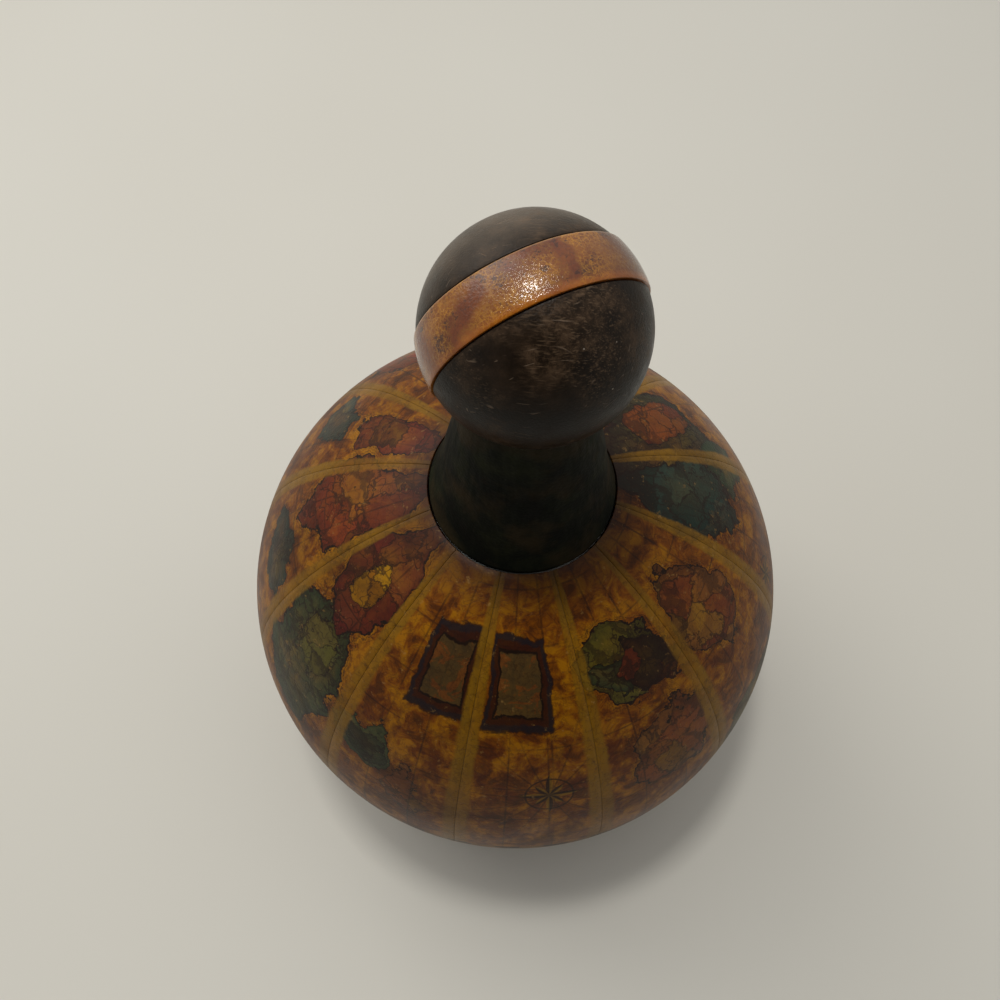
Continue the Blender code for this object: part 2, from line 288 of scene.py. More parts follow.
# Printed leather under varnish: an ochre ground, lands tinted by hand and stronger along their
# dark engraved coasts, light bands down the seams. The varnish is satin and crazed.
# The inks are given as they look through the amber varnish
OCHRE = linear("#6e3b05")
OCHRE_LIGHT = linear("#8e5b05")
OCHRE_DARK = linear("#4a2606")
SEAM_BAND = linear("#78550e")
ENGRAVING = linear("#1a0f09")
MADDER = linear("#5c2014")
RUSSET = linear("#652a12")
ORANGE = linear("#682c0c")
SIENNA = linear("#673a18")
BOTTLE_GREEN = linear("#293a24")
MOSS = linear("#23291a")
OLIVE = linear("#4a431a")
INDIGO = linear("#18151a")
TEAL = linear("#1e3029")
FRAME_BROWN = linear("#2c120b")
STAIN_AND_SHADE = linear("#24120a")
RUBBED = linear("#94703c")

printed, add, place = blank_material("printed_leather_under_varnish")
# The chart's own coordinates: degrees round from the front, and degrees down from the neck
about_middle = add(
    "Mapping", {"Vector": place, "Location": (0, 0, -GLOBE_Z), "Rotation": (0, 0, math.pi / 2)}
)
axes = add("SeparateXYZ", {"Vector": about_middle})
turn = add("Math", (axes.outputs["Y"], axes.outputs["X"]), operation="ARCTAN2")
turn_deg = add("Math", (turn,), operation="DEGREES")
unit = add("VectorMath", (about_middle,), operation="NORMALIZE")
unit_axes = add("SeparateXYZ", {"Vector": unit})
fall = add("Math", (unit_axes.outputs["Z"],), operation="ARCCOSINE")
fall_deg = add("Math", (fall,), operation="DEGREES")
chart = add("CombineXYZ", {"X": turn_deg, "Y": fall_deg})
# Width on the globe of one degree round, in millimetres: it shrinks towards neck and base
MM_PER_DEG = GLOBE_RADIUS * 1000 * math.pi / 180
fall_sine = add("Math", (fall,), operation="SINE")
turn_mm = add("Math", (fall_sine, MM_PER_DEG), operation="MULTIPLY")

# Noises that the whole print shares: clouds of 15 mm, brush marks of 5 mm, foxing of 2 mm
clouds = add("TexNoise", {"Vector": place, "Scale": 1 / 0.015, "Detail": 5.0, "Roughness": 0.62})
brush = add(
    "TexNoise",
    {"Vector": place, "Scale": 1 / 0.005, "Detail": 4.0, "Roughness": 0.65, "Distortion": 0.7},
)
foxing = add("TexNoise", {"Vector": place, "Scale": 1 / 0.0021, "Detail": 3.0, "Roughness": 0.7})
ground = add(
    "ValToRGB",
    {"Fac": add("Math", (clouds, 0.5, brush), operation="MULTIPLY_ADD")},
    stops=[(0.60, OCHRE_DARK), (0.72, OCHRE), (0.86, OCHRE_LIGHT)],
)
# Streaks of red-brown wash, 4 mm wide and 20 mm long, that ran down before they dried
runs = add("Mapping", {"Vector": place, "Scale": (1 / 0.004, 1 / 0.004, 1 / 0.020)})
runs = add("TexNoise", {"Vector": runs, "Scale": 1.0, "Detail": 4.0, "Roughness": 0.6})
run_share = add("MapRange", {"Value": runs, "From Min": 0.47, "From Max": 0.62, "To Max": 0.68})
low_down = add("MapRange", {"Value": fall_deg, "From Min": 35, "From Max": 55, "To Min": 0.25})
run_share = add("Math", (run_share, low_down), operation="MULTIPLY")
ground = add("Mix", {"Factor": run_share, "A": ground, "B": "#4a1c08"}, data_type="RGBA")

# Shores wander by several degrees: slow bays and fine inlets in one fractal noise
SHORE_DRIFT_DEG = 26.0
drift = add("TexNoise", {"Vector": place, "Scale": 1 / 0.020, "Detail": 6.0, "Roughness": 0.60})
shore = add(
    "VectorMath",
    (drift.outputs["Color"], (SHORE_DRIFT_DEG, SHORE_DRIFT_DEG, 0), chart),
    operation="MULTIPLY_ADD",
)
shore = add(
    "VectorMath", (shore, (SHORE_DRIFT_DEG / 2, SHORE_DRIFT_DEG / 2, 0)), operation="SUBTRACT"
)

# Lands, the later over the earlier: a tint, then the middle and half size of each land that
# has it, in degrees round and down
LANDS = (
    (MOSS, ((112, 32, 30, 15),)),
    (BOTTLE_GREEN, ((-57, 57, 13, 16), (-35, 60, 7, 5.5), (107, 48, 9, 8), (152, 120, 16, 12))),
    (TEAL, ((-85, 57, 9, 7), (-118, 45, 9, 6), (93, 33, 14, 14), (-84, 100, 22, 18))),
    (MADDER, ((-113, 27, 9, 9), (-56, 31, 13, 14), (-138, 104, 15, 19))),
    (RUSSET, ((-86, 32, 15, 13), (112, 98, 15, 20))),
    (SIENNA, ((-23, 68, 5, 8), (38, 61, 11, 9), (62, 41, 10, 11))),
    (ORANGE, ((125, 33, 10, 10), (-152, 52, 16, 12), (-6, 112, 20, 15))),
    (OLIVE, ((-56, 51, 6, 7), (34, 38, 13, 10), (158, 62, 17, 15), (66, 88, 20, 16))),
    (MOSS, ((31, 41, 6, 5), (-34, 60, 4.5, 3.5))),
    (FRAME_BROWN, ((41, 41, 8, 8),)),
    (RUSSET, ((36, 39, 5, 4),)),
    (OCHRE_LIGHT, ((-56, 33, 6, 6),)),
)
# Across a coast, with the shore at 0.5: a pale inside, a deeper edge, the engraved line, and two
# fainter water lines outside
COAST = (
    (0.15, 0.68, 1.0),
    (0.40, 0.88, 1.0),
    (0.478, 0.97, 0.6),
    (0.482, 1.0, 0.0),
    (0.502, 1.0, 0.0),
    (0.508, 0.0, 0.0),
    (0.526, 0.0, 0.0),
    (0.531, 0.6, 0.0),
    (0.537, 0.6, 0.0),
    (0.542, 0.0, 0.0),
    (0.562, 0.0, 0.0),
    (0.567, 0.35, 0.0),
    (0.572, 0.35, 0.0),
    (0.577, 0.0, 0.0),
)
print_colour = ground
land_share = None
for tint, places in LANDS:
    reach = None
    for turn_middle, fall_middle, half_turn, half_fall in places:
        local = add(
            "Mapping",
            {
                "Vector": shore,
                "Location": (turn_middle, fall_middle, 0),
                "Scale": (2 * half_turn, 2 * half_fall, 1),
            },
            vector_type="TEXTURE",
        )
        local = add("VectorMath", (local,), operation="LENGTH")
        reach = local if reach is None else add("Math", (reach, local), operation="MINIMUM")
    stops = []
    for stop_place, cover, strength in COAST:
        mixed_tint = [t * strength + e * (1 - strength) for t, e in zip(tint[:3], ENGRAVING[:3])]
        stops.append((stop_place, (*mixed_tint, cover)))
    land = add("ValToRGB", {"Fac": reach}, stops=stops)
    print_colour = add(
        "Mix",
        {"Factor": land.outputs["Alpha"], "A": print_colour, "B": land.outputs["Color"]},
        data_type="RGBA",
    )
    inland = add("MapRange", {"Value": reach, "From Min": 0.49, "From Max": 0.45})
    land_share = (
        inland
        if land_share is None
        else add("Math", (land_share, inland), operation="MAXIMUM")
    )

# Inside the lands: borders round fields of 10 mm, each field tinted a little apart
bend = add(
    "VectorMath", (brush.outputs["Color"], (0.007, 0.007, 0.007), place), operation="MULTIPLY_ADD"
)
fields = add("TexVoronoi", {"Vector": bend, "Scale": 1 / 0.010})
field_tone = add("SeparateXYZ", {"Vector": fields.outputs["Color"]})
field_value = add("MapRange", {"Value": field_tone, "To Min": 0.72, "To Max": 1.25})
field_hue = add("MapRange", {"Value": field_tone.outputs["Y"], "To Min": 0.485, "To Max": 0.52})
print_colour = add(
    "HueSaturation",
    {"Hue": field_hue, "Value": field_value, "Color": print_colour, "Fac": land_share},
)
border = add("TexVoronoi", {"Vector": bend, "Scale": 1 / 0.010}, feature="DISTANCE_TO_EDGE")
border_line = add(
    "MapRange", {"Value": border, "From Min": 0.035, "From Max": 0.018, "To Max": 0.7}
)
# Rivers are thin wandering lines, and hills are dark bent ridges 8 mm apart in some of the
# fields. At a scale of 1 the slanting bands of a wave texture stand tau / (10 sqrt 3) metres apart
RIDGE_SCALE = math.tau / (10 * math.sqrt(3)) / 0.00798
river = add("TexNoise", {"Vector": place, "Scale": 1 / 0.011, "Detail": 3.0, "Roughness": 0.6})
river = add("Math", (river, 0.5), operation="SUBTRACT")
river = add("Math", (river,), operation="ABSOLUTE")
river_line = add("MapRange", {"Value": river, "From Min": 0.008, "From Max": 0.004, "To Max": 0.7})
ridges = add(
    "TexWave",
    {"Vector": bend, "Scale": RIDGE_SCALE, "Distortion": 4.0, "Detail": 2.0, "Detail Scale": 3.0},
    bands_direction="DIAGONAL",
)
ridge_line = add(
    "MapRange", {"Value": ridges.outputs["Fac"], "From Min": 0.30, "From Max": 0.12, "To Max": 0.55}
)
hilly = add("MapRange", {"Value": field_tone.outputs["Z"], "From Min": 0.45, "From Max": 0.55})
ridge_line = add("Math", (ridge_line, hilly), operation="MULTIPLY")
engraved = add("Math", (border_line, river_line), operation="MAXIMUM")
engraved = add("Math", (engraved, ridge_line), operation="MAXIMUM")
engraved = add("Math", (engraved, land_share), operation="MULTIPLY")

# Compass roses on the open sea: middle in degrees, and radius in millimetres. A star stands in
# a ring, and thin course lines run out from it
ROSES = ((8, 62, 7.5), (-168, 75, 9.0), (84, 62, 6.0), (-44, 105, 8.0))
for turn_middle, fall_middle, rose_mm in ROSES:
    half_fall = rose_mm / MM_PER_DEG
    half_turn = half_fall / math.sin(math.radians(fall_middle))
    local = add(
        "Mapping",
        {
            "Vector": chart,
            "Location": (turn_middle, fall_middle, 0),
            "Scale": (half_turn, half_fall, 1),
        },
        vector_type="TEXTURE",
    )
    reach = add("VectorMath", (local,), operation="LENGTH")
    rose_axes = add("SeparateXYZ", {"Vector": local})
    bearing = add("Math", (rose_axes.outputs["Y"], rose_axes.outputs["X"]), operation="ARCTAN2")
    # Star: a point every 45 degrees, every other one shorter
    spoke = add("Math", (bearing, math.pi / 8), operation="PINGPONG")
    star_reach = add(
        "MapRange",
        {"Value": spoke, "From Min": 0.0, "From Max": math.pi / 8, "To Min": 1.0, "To Max": 0.28},
    )
    longer = add("Math", (bearing, math.pi / 4), operation="PINGPONG")
    longer = add(
        "MapRange",
        {"Value": longer, "From Min": 0.0, "From Max": math.pi / 4, "To Min": 1.0, "To Max": 0.66},
    )
    star = add("Math", (star_reach, longer), operation="MULTIPLY")
    star = add("Math", (star, reach), operation="SUBTRACT")
    star = add("MapRange", {"Value": star, "From Min": 0.0, "From Max": 0.03, "To Max": 0.9})
    ring_line = add("Math", (reach, 0.78), operation="SUBTRACT")
    ring_line = add("Math", (ring_line,), operation="ABSOLUTE")
    ring_line = add(
        "MapRange", {"Value": ring_line, "From Min": 0.045, "From Max": 0.025, "To Max": 0.8}
    )
    # One half of each point is dark and the other pale
    half = add("Math", (bearing, math.pi / 4), operation="FLOORED_MODULO")
    half = add("Math", (half, math.pi / 8), operation="GREATER_THAN")
    star_tint = add("Mix", {"Factor": half, "A": SEAM_BAND, "B": ENGRAVING}, data_type="RGBA")
    print_colour = add("Mix", {"Factor": star, "A": print_colour, "B": star_tint}, data_type="RGBA")
    course = add("Math", (bearing, math.pi / 16), operation="PINGPONG")
    course = add("Math", (course, reach), operation="MULTIPLY")
    course = add("MapRange", {"Value": course, "From Min": 0.045, "From Max": 0.020, "To Max": 0.5})
    course_fade = add("MapRange", {"Value": reach, "From Min": 4.0, "From Max": 1.0})
    course = add("Math", (course, course_fade), operation="MULTIPLY")
    rose_lines = add("Math", (course, ring_line), operation="MAXIMUM")
    engraved = add("Math", (engraved, rose_lines), operation="MAXIMUM")

# Net of meridians and parallels every 10 degrees, in a line of 0.3 mm that is half worn away
NET_DEG = 10.0
NET_HALF_MM = 0.15
SEAM_SHIFT_DEG = 90 - FIRST_SEAM_DEG
from_seam = add("Math", (turn_deg, SEAM_SHIFT_DEG), operation="ADD")
around = add("Math", (from_seam, NET_DEG / 2), operation="PINGPONG")
around = add("Math", (around, turn_mm), operation="MULTIPLY")
down = add("Math", (fall_deg, NET_DEG / 2), operation="PINGPONG")
down = add("Math", (down, MM_PER_DEG), operation="MULTIPLY")
net = add("Math", (around, down), operation="MINIMUM")
net = add(
    "MapRange", {"Value": net, "From Min": 2 * NET_HALF_MM, "From Max": NET_HALF_MM, "To Max": 0.55}
)
worn = add("MapRange", {"Value": clouds, "From Min": 0.64, "From Max": 0.44, "To Min": 0.15})
net = add("Math", (net, worn), operation="MULTIPLY")
engraved = add("Math", (engraved, net), operation="MAXIMUM")
print_colour = add("Mix", {"Factor": engraved, "A": print_colour, "B": ENGRAVING}, data_type="RGBA")

# Two framed insets by the neck: a dark moulded frame round an olive field with its own small land
FRAMES = ((-20.8, 37.0, 8.6, 9.5), (1.0, 37.5, 9.6, 9.3))
# Across the moulding, from the field outwards: place, ink and cover
MOULDING = (
    (0.320, ENGRAVING, 0.0),
    (0.332, ENGRAVING, 1.0),
    (0.350, ENGRAVING, 1.0),
    (0.365, FRAME_BROWN, 0.95),
    (0.420, FRAME_BROWN, 0.95),
    (0.440, INDIGO, 0.95),
    (0.485, INDIGO, 0.95),
    (0.500, ENGRAVING, 0.8),
    (0.515, ENGRAVING, 0.0),
)
BRUSH_WOBBLE_DEG = 2.5
SLOW_WOBBLE_DEG = 7.5
MEAN_WOBBLE_DEG = (BRUSH_WOBBLE_DEG + SLOW_WOBBLE_DEG) / 2
wobble = add(
    "VectorMath",
    (brush.outputs["Color"], (BRUSH_WOBBLE_DEG, BRUSH_WOBBLE_DEG, 0), chart),
    operation="MULTIPLY_ADD",
)
wobble = add(
    "VectorMath",
    (drift.outputs["Color"], (SLOW_WOBBLE_DEG, SLOW_WOBBLE_DEG, 0), wobble),
    operation="MULTIPLY_ADD",
)
inset_land = add("MapRange", {"Value": brush, "From Min": 0.53, "From Max": 0.56, "To Max": 0.5})
inset = add("Mix", {"Factor": inset_land, "A": "#3a311c", "B": RUSSET}, data_type="RGBA")
for turn_middle, fall_middle, half_turn, half_fall in FRAMES:
    local = add(
        "Mapping",
        {
            "Vector": wobble,
            "Location": (turn_middle + MEAN_WOBBLE_DEG, fall_middle + MEAN_WOBBLE_DEG, 0),
            "Scale": (2 * half_turn, 2 * half_fall, 1),
        },
        vector_type="TEXTURE",
    )
    local = add("VectorMath", (local,), operation="ABSOLUTE")
    sides = add("SeparateXYZ", {"Vector": local})
    reach = add("Math", (sides.outputs["X"], sides.outputs["Y"]), operation="MAXIMUM")
    field = add("MapRange", {"Value": reach, "From Min": 0.345, "From Max": 0.335, "To Max": 0.85})
    print_colour = add("Mix", {"Factor": field, "A": print_colour, "B": inset}, data_type="RGBA")
    moulding = add(
        "ValToRGB",
        {"Fac": reach},
        stops=[(edge, (*tint[:3], cover)) for edge, tint, cover in MOULDING],
    )
    print_colour = add(
        "Mix",
        {"Factor": moulding.outputs["Alpha"], "A": print_colour, "B": moulding.outputs["Color"]},
        data_type="RGBA",
    )

# Light bands down the seams, about 5 degrees wide with uneven brushed edges
BAND_HALF_DEG = 2.6
seam = add("Math", (from_seam, GORE_SWEEP_DEG / 2), operation="PINGPONG")
seam = add("Math", (brush, 2.0, seam), operation="MULTIPLY_ADD")
band_share = add(
    "MapRange", {"Value": seam, "From Min": BAND_HALF_DEG + 1.3, "From Max": BAND_HALF_DEG + 0.5}
)
band_wear = add(
    "MapRange",
    {"Value": clouds, "From Min": 0.66, "From Max": 0.42, "To Min": 0.50, "To Max": 0.92},
)
band_share = add("Math", (band_share, band_wear), operation="MULTIPLY")
print_colour = add(
    "Mix", {"Factor": band_share, "A": print_colour, "B": SEAM_BAND}, data_type="RGBA"
)

# Ring round the widest part: a chain of dark and light steps, 5 degrees each, between two lines
RING_HALF_DEG = 1.3
ring = add("Math", (fall_deg, 90.0), operation="SUBTRACT")
ring = add("Math", (ring,), operation="ABSOLUTE")
ring_steps = add("Math", (turn_deg, 5.0), operation="PINGPONG")
ring_steps = add("MapRange", {"Value": ring_steps, "From Min": 2.4, "From Max": 2.6})
ring_edge = add(
    "MapRange", {"Value": ring, "From Min": RING_HALF_DEG - 0.4, "From Max": RING_HALF_DEG - 0.3}
)
ring_light = add("Math", (ring_steps, ring_edge), operation="SUBTRACT")
ring_colour = add("Mix", {"Factor": ring_light, "A": ENGRAVING, "B": SEAM_BAND}, data_type="RGBA")
ring_inside = add(
    "MapRange",
    {"Value": ring, "From Min": RING_HALF_DEG + 0.1, "From Max": RING_HALF_DEG, "To Max": 0.85},
)
print_colour = add(
    "Mix", {"Factor": ring_inside, "A": print_colour, "B": ring_colour}, data_type="RGBA"
)

# Age: brown stains, rubbed spots where the print is gone, foxing and dirt in the crazing, and
# painted shade: a darker collar round the neck, where the ball and the neck shade the globe
stain = add(
    "TexNoise",
    {"Vector": place, "Scale": 1 / 0.024, "Detail": 5.0, "Roughness": 0.65, "Distortion": 0.6},
)
stain_share = add("MapRange", {"Value": stain, "From Min": 0.52, "From Max": 0.74, "To Max": 0.6})
fox_share = add("MapRange", {"Value": foxing, "From Min": 0.57, "From Max": 0.72, "To Max": 0.5})
# Painted shade: darker towards the neck, where the ball and the neck shade the globe
painted_neck_shade = add("MapRange", {"Value": fall_deg, "From Min": 27, "From Max": 17, "To Max": 0.75})
stain_and_shade = add("Math", (stain_share, fox_share), operation="MAXIMUM")
stain_and_shade = add("Math", (stain_and_shade, painted_neck_shade), operation="MAXIMUM")
print_colour = add("Mix", {"Factor": stain_and_shade, "A": print_colour, "B": STAIN_AND_SHADE}, data_type="RGBA")
rubbed = add("MapRange", {"Value": foxing, "From Min": 0.37, "From Max": 0.26, "To Max": 0.5})
print_colour = add("Mix", {"Factor": rubbed, "A": print_colour, "B": RUBBED}, data_type="RGBA")
crazing = add("TexVoronoi", {"Vector": bend, "Scale": 1 / 0.0032}, feature="DISTANCE_TO_EDGE")
crazing_line = add(
    "MapRange", {"Value": crazing, "From Min": 0.06, "From Max": 0.0, "To Max": 0.35}
)
print_colour = add("Mix", {"Factor": crazing_line, "A": print_colour, "B": STAIN_AND_SHADE}, data_type="RGBA")

# Relief: calf grain, drawn at 0.8 mm so that it shows, and sunk crazing
grain = add("TexVoronoi", {"Vector": place, "Scale": 1 / 0.0008})
height = add("Math", (grain, 0.6, brush), operation="MULTIPLY_ADD")
height = add("Math", (height, crazing_line), operation="SUBTRACT")
relief = add("Bump", {"Height": height, "Strength": 0.5, "Distance": 0.0001})
gloss = add(
    "MapRange", {"Value": stain, "From Min": 0.3, "From Max": 0.7, "To Min": 0.34, "To Max": 0.52}
)
surface = add(
    "BsdfPrincipled",
    {
        "Base Color": print_colour,
        "Roughness": gloss,
        "Normal": relief,
        "IOR": 1.45,
        "Specular IOR Level": 0.12,
        "Coat Weight": 0.08,
        "Coat Roughness": 0.30,
        "Coat IOR": 1.5,
    },
)
add("OutputMaterial", {"Surface": surface})

for i, bm in enumerate(gores):
    gore = made(f"globe_gore_{i + 1:02d}", bm, printed)
    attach(gore, "bottle")
    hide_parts(f"gore_{i + 1:02d}")

# Neck sleeve: one wrap of soft leather, dyed a green that is nearly black, cut as a flat fan
# and glued round the glass cone. Its two edges butt together in a seam at the back.
SLEEVE_HEIGHTS = 40
FOOT_CROWDING = 1.6
SLEEVE_SEAM_DEG = 0.3
SLEEVE_ROUNDING = 0.00035
GORE_INNER_RADIUS = 0.0738
SLEEVE_TOP_Z = NECK_FOOT_Z + NECK_HEIGHT

bm = bmesh.new()
rises = [(i / SLEEVE_HEIGHTS) ** FOOT_CROWDING for i in range(SLEEVE_HEIGHTS + 1)]
heights = [NECK_FOOT_Z + NECK_HEIGHT * rise for rise in rises]
outside = [bm.verts.new((neck_radius(z), 0, z)) for z in heights]
inside = [bm.verts.new((neck_radius(z) - NECK_LEATHER, 0, z)) for z in heights]
hem = []
for radius in (neck_radius(NECK_FOOT_Z), neck_radius(NECK_FOOT_Z) - NECK_LEATHER):
    hem_z = GLOBE_Z + math.sqrt(GORE_INNER_RADIUS**2 - radius**2)
    hem.append(bm.verts.new((radius, 0, hem_z)))
half_seam = math.radians(SLEEVE_SEAM_DEG) / 2
seam_at = math.pi / 2 + half_seam
bmesh.ops.rotate(bm, verts=bm.verts, matrix=Matrix.Rotation(seam_at, 3, "Z"))
turned(bm, outside[::-1] + hem + inside, TURN_STEPS, 2 * math.pi - 2 * half_seam)
open_edges = [edge for edge in bm.edges if len(edge.link_faces) == 1]
bmesh.ops.holes_fill(bm, edges=open_edges)
bmesh.ops.recalc_face_normals(bm, faces=bm.faces)
corners = sharp_edges(bm, CORNER_DEG)
top_edges = [e for e in corners if min(v.co.z for v in e.verts) > SLEEVE_TOP_Z - MERGE]
rounded(bm, top_edges, SLEEVE_ROUNDING, segments=3)

# Dyed leather, dry and dull: near black with a green cast, rubbed paler where a hand holds it
sleeve_leather, add, place = blank_material("dull_dark_green_leather")
patches = add("TexNoise", {"Vector": place, "Scale": 1 / 0.010, "Detail": 5.0, "Roughness": 0.65})
dye = add(
    "ValToRGB", {"Fac": patches}, stops=[(0.35, "#050704"), (0.50, "#0b0f07"), (0.68, "#1d1f10")]
)
# Patches of 12 mm where the dye has gone brown
faded = add("TexNoise", {"Vector": place, "Scale": 1 / 0.012, "Detail": 3.0, "Roughness": 0.6})
faded = add("MapRange", {"Value": faded, "From Min": 0.48, "From Max": 0.66, "To Max": 0.8})
dye = add("Mix", {"Factor": faded, "A": dye, "B": "#2b2212"}, data_type="RGBA")
grain = add("TexVoronoi", {"Vector": place, "Scale": 1 / 0.0008})
# Creases 1.5 mm apart and 9 mm long, up and down the neck
creases = add("Mapping", {"Vector": place, "Scale": (1 / 0.0015, 1 / 0.0015, 1 / 0.009)})
creases = add("TexNoise", {"Vector": creases, "Scale": 1.0, "Detail": 3.0, "Roughness": 0.6})
height = add("Math", (grain, creases), operation="ADD")
relief = add("Bump", {"Height": height, "Strength": 0.6, "Distance": 0.00012})
gloss = add(
    "MapRange", {"Value": creases, "From Min": 0.3, "From Max": 0.7, "To Min": 0.60, "To Max": 0.78}
)
surface = add(
    "BsdfPrincipled",
    {
        "Base Color": dye,
        "Roughness": gloss,
        "Normal": relief,
        "IOR": 1.45,
        "Specular IOR Level": 0.1,
    },
)
add("OutputMaterial", {"Surface": surface})

sleeve = made("neck_wrap", bm, sleeve_leather)
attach(sleeve, "bottle")
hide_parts("neck_sleeve")

# Base pad: a disc of dark saddle leather under the flask, cut with a punch and glued on.
# It closes the lower ends of the gores, and the decanter stands on it.
PAD_RADIUS = 0.0330
PAD_THICKNESS = 0.0020
PAD_ROUNDING = 0.0005

bm = bmesh.new()
bmesh.ops.create_circle(bm, cap_ends=True, radius=PAD_RADIUS, segments=TURN_STEPS)
bmesh.ops.solidify(bm, geom=bm.faces[:], thickness=-PAD_THICKNESS)
bmesh.ops.recalc_face_normals(bm, faces=bm.faces)
lowest = min(vert.co.z for vert in bm.verts)
bmesh.ops.translate(bm, verts=bm.verts, vec=(0, 0, -lowest))
rounded(bm, sharp_edges(bm, CORNER_DEG), PAD_ROUNDING, segments=3)

# Vegetable-tanned leather, dyed brown: matt, close grain, paler where it is scuffed
pad_leather, add, place = blank_material("matt_brown_saddle_leather")
patches = add("TexNoise", {"Vector": place, "Scale": 1 / 0.006, "Detail": 5.0, "Roughness": 0.6})
dye = add(
    "ValToRGB", {"Fac": patches}, stops=[(0.35, "#22150d"), (0.55, "#302014"), (0.72, "#4a3422")]
)
grain = add("TexVoronoi", {"Vector": place, "Scale": 1 / 0.0009})
relief = add("Bump", {"Height": grain, "Strength": 0.6, "Distance": 0.00012})
surface = add(
    "BsdfPrincipled", {"Base Color": dye, "Roughness": 0.72, "Normal": relief, "IOR": 1.5}
)
add("OutputMaterial", {"Surface": surface})

pad = made("base_disc", bm, pad_leather)
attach(pad, "bottle")
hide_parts("base_pad")

# Cork: a tapered plug of natural cork, punched across the bark and sanded. It has a drilled
# hole in its top for the dowel.
CORK_LENGTH = 0.0260
CORK_TOP_RADIUS = 0.0087
CORK_BOTTOM_RADIUS = 0.0081
CORK_CHAMFER = 0.0007
CORK_TOP_ROUNDING = 0.0002
SOCKET_RADIUS = 0.0043
SOCKET_DEPTH = 0.0123
SMALL_STEPS = 64


def drilled(bm, face):
    """Sinks the dowel's hole into the middle of a round face."""
    rim = max(vert.co.xy.length for vert in face.verts) - SOCKET_RADIUS
    bmesh.ops.inset_individual(bm, faces=[face], thickness=rim, use_even_offset=True)
    bmesh.ops.inset_individual(bm, faces=[face], thickness=0.0, depth=-SOCKET_DEPTH)


bm = bmesh.new()
bmesh.ops.create_cone(
    bm,
    cap_ends=True,
    radius1=CORK_BOTTOM_RADIUS,
    radius2=CORK_TOP_RADIUS,
    depth=CORK_LENGTH,
    segments=SMALL_STEPS,
)
middle_z = LIP_Z - CORK_LENGTH / 2
bmesh.ops.translate(bm, verts=bm.verts, vec=(0, 0, middle_z))
corners = sharp_edges(bm, CORNER_DEG)
low_edges = [edge for edge in corners if edge.verts[0].co.z < middle_z]
high_edges = [edge for edge in corners if edge.verts[0].co.z > middle_z]
rounded(bm, low_edges, CORK_CHAMFER, segments=3)
rounded(bm, high_edges, CORK_TOP_ROUNDING, segments=2)
drilled(bm, max(bm.faces, key=lambda face: face.calc_center_median().z))

# Natural cork: warm tan with darker grains of 1 mm and short brown pores, dry and matt
cork_finish, add, place = blank_material("natural_cork")
grains = add("TexVoronoi", {"Vector": place, "Scale": 1 / 0.0011})
grain_tone = add("SeparateXYZ", {"Vector": grains.outputs["Color"]})
cork_tone = add(
    "ValToRGB", {"Fac": grain_tone}, stops=[(0.1, "#8a6440"), (0.5, "#a87f55"), (0.95, "#bd9568")]
)
pores = add("Mapping", {"Vector": place, "Scale": (1 / 0.0030, 1 / 0.0007, 1 / 0.0012)})
pores = add("TexNoise", {"Vector": pores, "Scale": 1.0, "Detail": 4.0, "Roughness": 0.7})
pore_share = add("MapRange", {"Value": pores, "From Min": 0.60, "From Max": 0.68})
cork_tone = add("Mix", {"Factor": pore_share, "A": cork_tone, "B": "#4a2e18"}, data_type="RGBA")
height = add("Math", (pore_share, -2.0, grains), operation="MULTIPLY_ADD")
relief = add("Bump", {"Height": height, "Strength": 0.8, "Distance": 0.0002})
surface = add(
    "BsdfPrincipled", {"Base Color": cork_tone, "Roughness": 0.88, "Normal": relief, "IOR": 1.45}
)
add("OutputMaterial", {"Surface": surface})

cork = made("cork_plug", bm, cork_finish)
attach(cork, "cork")
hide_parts("stopper_cork")

# Dowel: a beech pin glued half into the cork and half into the ball. It is hidden once the
# stopper is made, so the CAD piece stays and takes only its finish here.

# Planed beech: pale pinkish brown with short darker flecks along the pin
beech, add, place = blank_material("planed_beech")
flecks = add("Mapping", {"Vector": place, "Scale": (1 / 0.0004, 1 / 0.0004, 1 / 0.0030)})
flecks = add("TexNoise", {"Vector": flecks, "Scale": 1.0, "Detail": 3.0})
wood_tone = add("ValToRGB", {"Fac": flecks}, stops=[(0.38, "#9c7448"), (0.55, "#c29c6e")])
relief = add("Bump", {"Height": flecks, "Strength": 0.3, "Distance": 0.0001})
surface = add(
    "BsdfPrincipled", {"Base Color": wood_tone, "Roughness": 0.6, "Normal": relief, "IOR": 1.5}
)
add("OutputMaterial", {"Surface": surface})

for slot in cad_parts["stopper_dowel"].material_slots:
    slot.material = beech

# Ball core: a ball turned in close-grained wood and stained, with a flat underneath that rests
# over the neck's lip. Leather covers it down to the flat.
BALL_Z = 0.205686
CORE_RADIUS = 0.0193
BALL_FLAT_DROP = 0.016237
BALL_STEPS = 96
BALL_RINGS = 64

bm = bmesh.new()
bmesh.ops.create_uvsphere(bm, u_segments=BALL_STEPS, v_segments=BALL_RINGS, radius=CORE_RADIUS)
cut_back(bm, (0, 0, -BALL_FLAT_DROP), (0, 0, -1))
rim = [edge for edge in bm.edges if len(edge.link_faces) == 1]
bmesh.ops.holes_fill(bm, edges=rim)
bmesh.ops.recalc_face_normals(bm, faces=bm.faces)
drilled(bm, min(bm.faces, key=lambda face: face.calc_center_median().z))
bmesh.ops.translate(bm, verts=bm.verts, vec=(0, 0, BALL_Z))

